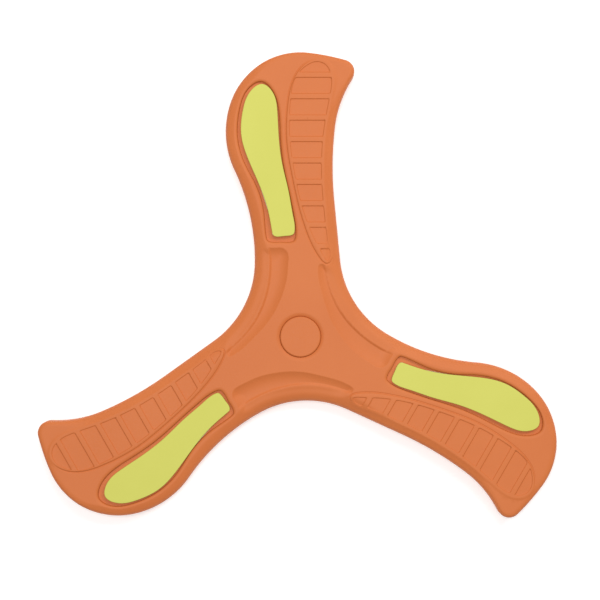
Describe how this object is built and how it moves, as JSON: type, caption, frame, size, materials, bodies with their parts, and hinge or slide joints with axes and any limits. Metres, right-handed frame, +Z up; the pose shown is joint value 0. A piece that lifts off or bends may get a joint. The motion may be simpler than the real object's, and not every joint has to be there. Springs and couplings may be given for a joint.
{
  "type": "soft three-wing boomerang",
  "caption": "Soft foam boomerang with hooked wings round a hub, ribbed panels on the trailing sides and coloured grip inlays set into the leading sides; thrown spinning, it flies back.",
  "frame": {"origin": "on the hub's axis, at the flat underside", "axes": "+Z up out of the face with the inlays; +Y along the first wing, wing a; wings b and c follow anticlockwise seen from above"},
  "size_m": [0.2602, 0.2333, 0.0123],
  "materials": {
    "body_foam": "soft moulded foam with a smooth, finely pebbled matt skin, orange",
    "inlay_foam": "die-cut sheet foam, lime, matt, with fine closed cells",
    "adhesive_film": "thin double-sided adhesive film, milky"
  },
  "bodies": {
    "root": {"foam_body": "body_foam", "hub_disc": "body_foam", "hub_adhesive": "adhesive_film", "grip_inlay_a": "inlay_foam", "grip_inlay_b": "inlay_foam", "grip_inlay_c": "inlay_foam", "inlay_adhesive_a": "adhesive_film", "inlay_adhesive_b": "adhesive_film", "inlay_adhesive_c": "adhesive_film"}
  },
  "joints": []
}
